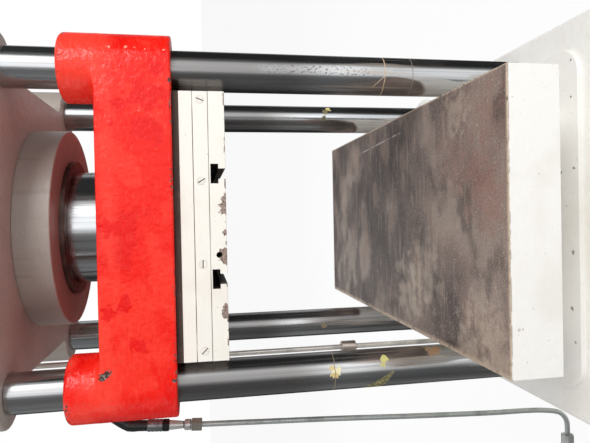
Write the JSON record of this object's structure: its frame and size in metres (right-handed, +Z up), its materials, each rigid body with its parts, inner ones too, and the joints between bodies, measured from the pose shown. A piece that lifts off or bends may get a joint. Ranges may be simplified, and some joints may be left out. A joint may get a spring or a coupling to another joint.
{
  "type": "hydraulic press",
  "caption": "Down-stroke hydraulic press: fixed crown with cylinder, red crosshead with T-slotted heated platen sliding on round columns, steel table on a cast base.",
  "frame": {"origin": "on the floor, midway between the four columns, at the base's underside on its middle web", "axes": "+Z up along the ram's axis, -Y the front where the table is loaded, +X to the right; the hydraulic line is on the left"},
  "size_m": [0.9091, 1.008, 2.1904],
  "materials": {
    "base_paint": "worn off-white machine paint",
    "table_steel": "bare ground steel, stained",
    "column_steel": "polished",
    "black_steel": "blackened steel",
    "crown_paint": "off-white machine paint",
    "machined_steel": "turned steel",
    "seal_rubber": "matte",
    "bronze": "turned bronze",
    "fitting_zinc": "zinc plated, dull",
    "hose_rubber": "satin black",
    "crosshead_paint": "brushed-on red enamel",
    "insulation": "pressed fibre board",
    "platen_paint": "off-white paint, chipped at the edges"
  },
  "bodies": {
    "frame": {"base_casting": "base_paint", "bed_riser": "base_paint", "bed_table": "table_steel", "column_front_left": "column_steel", "column_front_right": "column_steel", "column_rear_left": "column_steel", "column_rear_right": "column_steel", "lower_nut_front_left": "black_steel", "lower_nut_front_right": "black_steel", "lower_nut_rear_left": "black_steel", "lower_nut_rear_right": "black_steel", "upper_nut_front_left": "black_steel", "upper_nut_front_right": "black_steel", "upper_nut_rear_left": "black_steel", "upper_nut_rear_right": "black_steel", "crown": "crown_paint", "cylinder_barrel": "crown_paint", "cylinder_lock_ring": "machined_steel", "gland_housing": "machined_steel", "rod_seal": "seal_rubber", "ram_guide_bush": "bronze", "port_adaptor": "fitting_zinc", "hose_ferrule_top": "fitting_zinc", "hose": "hose_rubber", "hose_ferrule": "fitting_zinc", "hose_swivel_nut": "fitting_zinc", "coupling_body": "fitting_zinc", "coupling_collar": "fitting_zinc", "pipe_nut": "fitting_zinc", "pressure_pipe": "fitting_zinc", "pipe_union": "fitting_zinc", "limit_rod": "column_steel", "limit_rod_bracket_low": "base_paint", "limit_rod_bracket_high": "crown_paint", "stop_collar": "black_steel"},
    "moving_crosshead": {"crosshead": "crosshead_paint", "guide_bush_front_left": "bronze", "guide_bush_front_right": "bronze", "guide_bush_rear_left": "bronze", "guide_bush_rear_right": "bronze", "column_wiper_front_left": "seal_rubber", "column_wiper_front_right": "seal_rubber", "column_wiper_rear_left": "seal_rubber", "column_wiper_rear_right": "seal_rubber", "ram": "column_steel", "ram_clamp_ring": "machined_steel", "piston": "machined_steel", "piston_seal": "seal_rubber", "insulation_board": "insulation", "backing_plate": "platen_paint", "heating_plate": "platen_paint", "tslot_plate": "platen_paint", "plug_1": "fitting_zinc", "plug_2": "fitting_zinc", "plug_3": "fitting_zinc", "plug_4": "fitting_zinc"}
  },
  "joints": [
    {"name": "ram_slide", "type": "slide", "parent": "frame", "child": "moving_crosshead", "axis": [0, 0, 1], "range_m": [-0.34, 0.06]}
  ]
}
